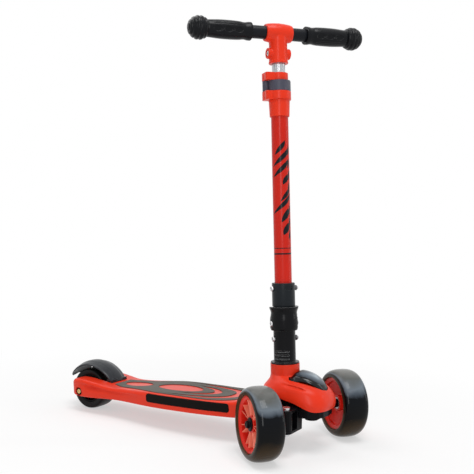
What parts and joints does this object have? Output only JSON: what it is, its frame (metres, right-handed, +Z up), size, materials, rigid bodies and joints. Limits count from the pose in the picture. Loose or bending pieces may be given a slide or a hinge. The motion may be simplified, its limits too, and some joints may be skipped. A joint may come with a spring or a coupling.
{
  "type": "three wheel kids scooter",
  "caption": "Kids kick scooter with a pair of steered front wheels, a small rear wheel with a fender brake, a folding stem and a height-adjustable handlebar.",
  "frame": {"origin": "on the ground, under the middle of the bounding box of the scooter with its bar turned right", "axes": "+Z up, the rider looks along -Y, the rider's left hand is at +X"},
  "size_m": [0.3058, 0.5924, 0.7265],
  "materials": {
    "red_plastic": "glossy moulded plastic",
    "red_tube": "glossy paint",
    "black_plastic": "satin moulded plastic",
    "grey_plastic": "matt moulded plastic",
    "smoked_plastic": "glossy smoked plastic",
    "mat_rubber": "matt textured rubber",
    "grip_rubber": "matt rubber",
    "wheel_tyre": "glossy smoky polyurethane",
    "plain_steel": "zinc plated",
    "brass_bolt": "yellow zinc plated",
    "inner_aluminium": "satin, fluted",
    "bar_paint": "black powder coat"
  },
  "bodies": {
    "frame": {"deck": "red_plastic", "deck_grip_mat": "mat_rubber", "side_grip_left": "black_plastic", "side_grip_right": "black_plastic", "chassis": "black_plastic", "front_cowl": "red_plastic", "visor": "smoked_plastic", "head_bush_upper": "black_plastic", "head_bush_lower": "black_plastic", "rear_axle_bolt": "brass_bolt", "rear_axle_nut": "plain_steel", "brake_pin": "plain_steel", "brake_spring": "plain_steel", "kingpin_left": "plain_steel", "kingpin_right": "plain_steel"},
    "rear_wheel": {"rear_tyre": "wheel_tyre", "rear_hub": "black_plastic", "rear_bearing_right": "plain_steel", "rear_bearing_left": "plain_steel"},
    "rear_brake": {"rear_fender_brake": "grey_plastic"},
    "corner_left": {"knuckle_left": "black_plastic", "axle_bolt_left": "plain_steel"},
    "corner_right": {"knuckle_right": "black_plastic", "axle_bolt_right": "plain_steel"},
    "wheel_left": {"tyre_left": "wheel_tyre", "rim_left": "red_plastic", "bearing_inner_left": "plain_steel", "bearing_outer_left": "plain_steel", "hub_cap_left": "black_plastic"},
    "wheel_right": {"tyre_right": "wheel_tyre", "rim_right": "red_plastic", "bearing_inner_right": "plain_steel", "bearing_outer_right": "plain_steel", "hub_cap_right": "black_plastic"},
    "steering_column": {"steering_shaft": "plain_steel", "fold_base": "black_plastic", "base_bolt": "plain_steel", "base_nut": "plain_steel", "hinge_bolt": "plain_steel", "hinge_nut": "plain_steel", "release_spring": "plain_steel"},
    "fold_release": {"release_lever": "black_plastic"},
    "track_link": {"tie_rod": "plain_steel"},
    "stem": {"fold_socket": "grey_plastic", "socket_bolt": "plain_steel", "socket_nut": "plain_steel", "outer_tube": "red_tube", "clamp_collar": "red_plastic", "clamp_pin": "plain_steel"},
    "height_clamp": {"clamp_band": "grey_plastic"},
    "bars": {"inner_tube": "inner_aluminium", "guide_bush": "black_plastic", "t_piece": "red_plastic", "t_bolt": "plain_steel", "t_nut": "plain_steel", "handlebar": "bar_paint", "grip_left": "grip_rubber", "grip_right": "grip_rubber"}
  },
  "joints": [
    {"name": "steering", "type": "hinge", "parent": "frame", "child": "steering_column", "pos_m": [0, -0.17508, 0.13939], "axis": [0, 0.0523, 0.9986], "range_deg": [0, 79]},
    {"name": "left_wheel_turn", "type": "hinge", "parent": "frame", "child": "corner_left", "pos_m": [0.0675, -0.21238, 0.05949], "axis": [0, 0, 1], "range_deg": [0, 79]},
    {"name": "right_wheel_turn", "type": "hinge", "parent": "frame", "child": "corner_right", "pos_m": [-0.0675, -0.21238, 0.05949], "axis": [0, 0, 1], "range_deg": [0, 79]},
    {"name": "link_swing", "type": "hinge", "parent": "steering_column", "child": "track_link", "pos_m": [0.01527, -0.16062, 0.06142], "axis": [0, 0.0523, 0.9986], "range_deg": [-79, 0]},
    {"name": "left_wheel_spin", "type": "hinge", "parent": "corner_left", "child": "wheel_left", "pos_m": [0.10222, -0.241, 0.05949], "axis": [0.7716, -0.6361, 0], "continuous": true},
    {"name": "right_wheel_spin", "type": "hinge", "parent": "corner_right", "child": "wheel_right", "pos_m": [-0.10222, -0.18375, 0.05949], "axis": [0.7716, -0.6361, 0], "continuous": true},
    {"name": "rear_wheel_spin", "type": "hinge", "parent": "frame", "child": "rear_wheel", "pos_m": [0, 0.24792, 0.03966], "axis": [1, 0, 0], "continuous": true},
    {"name": "rear_brake", "type": "hinge", "parent": "frame", "child": "rear_brake", "pos_m": [0, 0.19912, 0.05436], "axis": [-1, 0, 0], "range_deg": [0, 5.5], "stiffness_Nm_per_rad": 0.8, "springref_deg": -6.88},
    {"name": "stem_fold", "type": "hinge", "parent": "steering_column", "child": "stem", "pos_m": [0, -0.17152, 0.20729], "axis": [-0.7716, 0.6352, -0.0333], "range_deg": [0, 90]},
    {"name": "fold_release", "type": "hinge", "parent": "steering_column", "child": "fold_release", "pos_m": [0.01574, -0.18448, 0.20797], "axis": [-0.7716, 0.6352, -0.0333], "range_deg": [0, 22], "stiffness_Nm_per_rad": 0.05, "springref_deg": -11.46},
    {"name": "clamp_open", "type": "hinge", "parent": "stem", "child": "height_clamp", "pos_m": [-0.01379, -0.1325, 0.6107], "axis": [0, -0.0523, -0.9986], "range_deg": [0, 110]},
    {"name": "bar_height", "type": "slide", "parent": "stem", "child": "bars", "axis": [0, 0.0523, 0.9986], "range_m": [-0.015, 0.12]}
  ],
  "couplings": [
    {"joint": "left_wheel_turn", "follows": "steering", "ratio": 1},
    {"joint": "right_wheel_turn", "follows": "steering", "ratio": 1},
    {"joint": "link_swing", "follows": "steering", "ratio": -1}
  ]
}
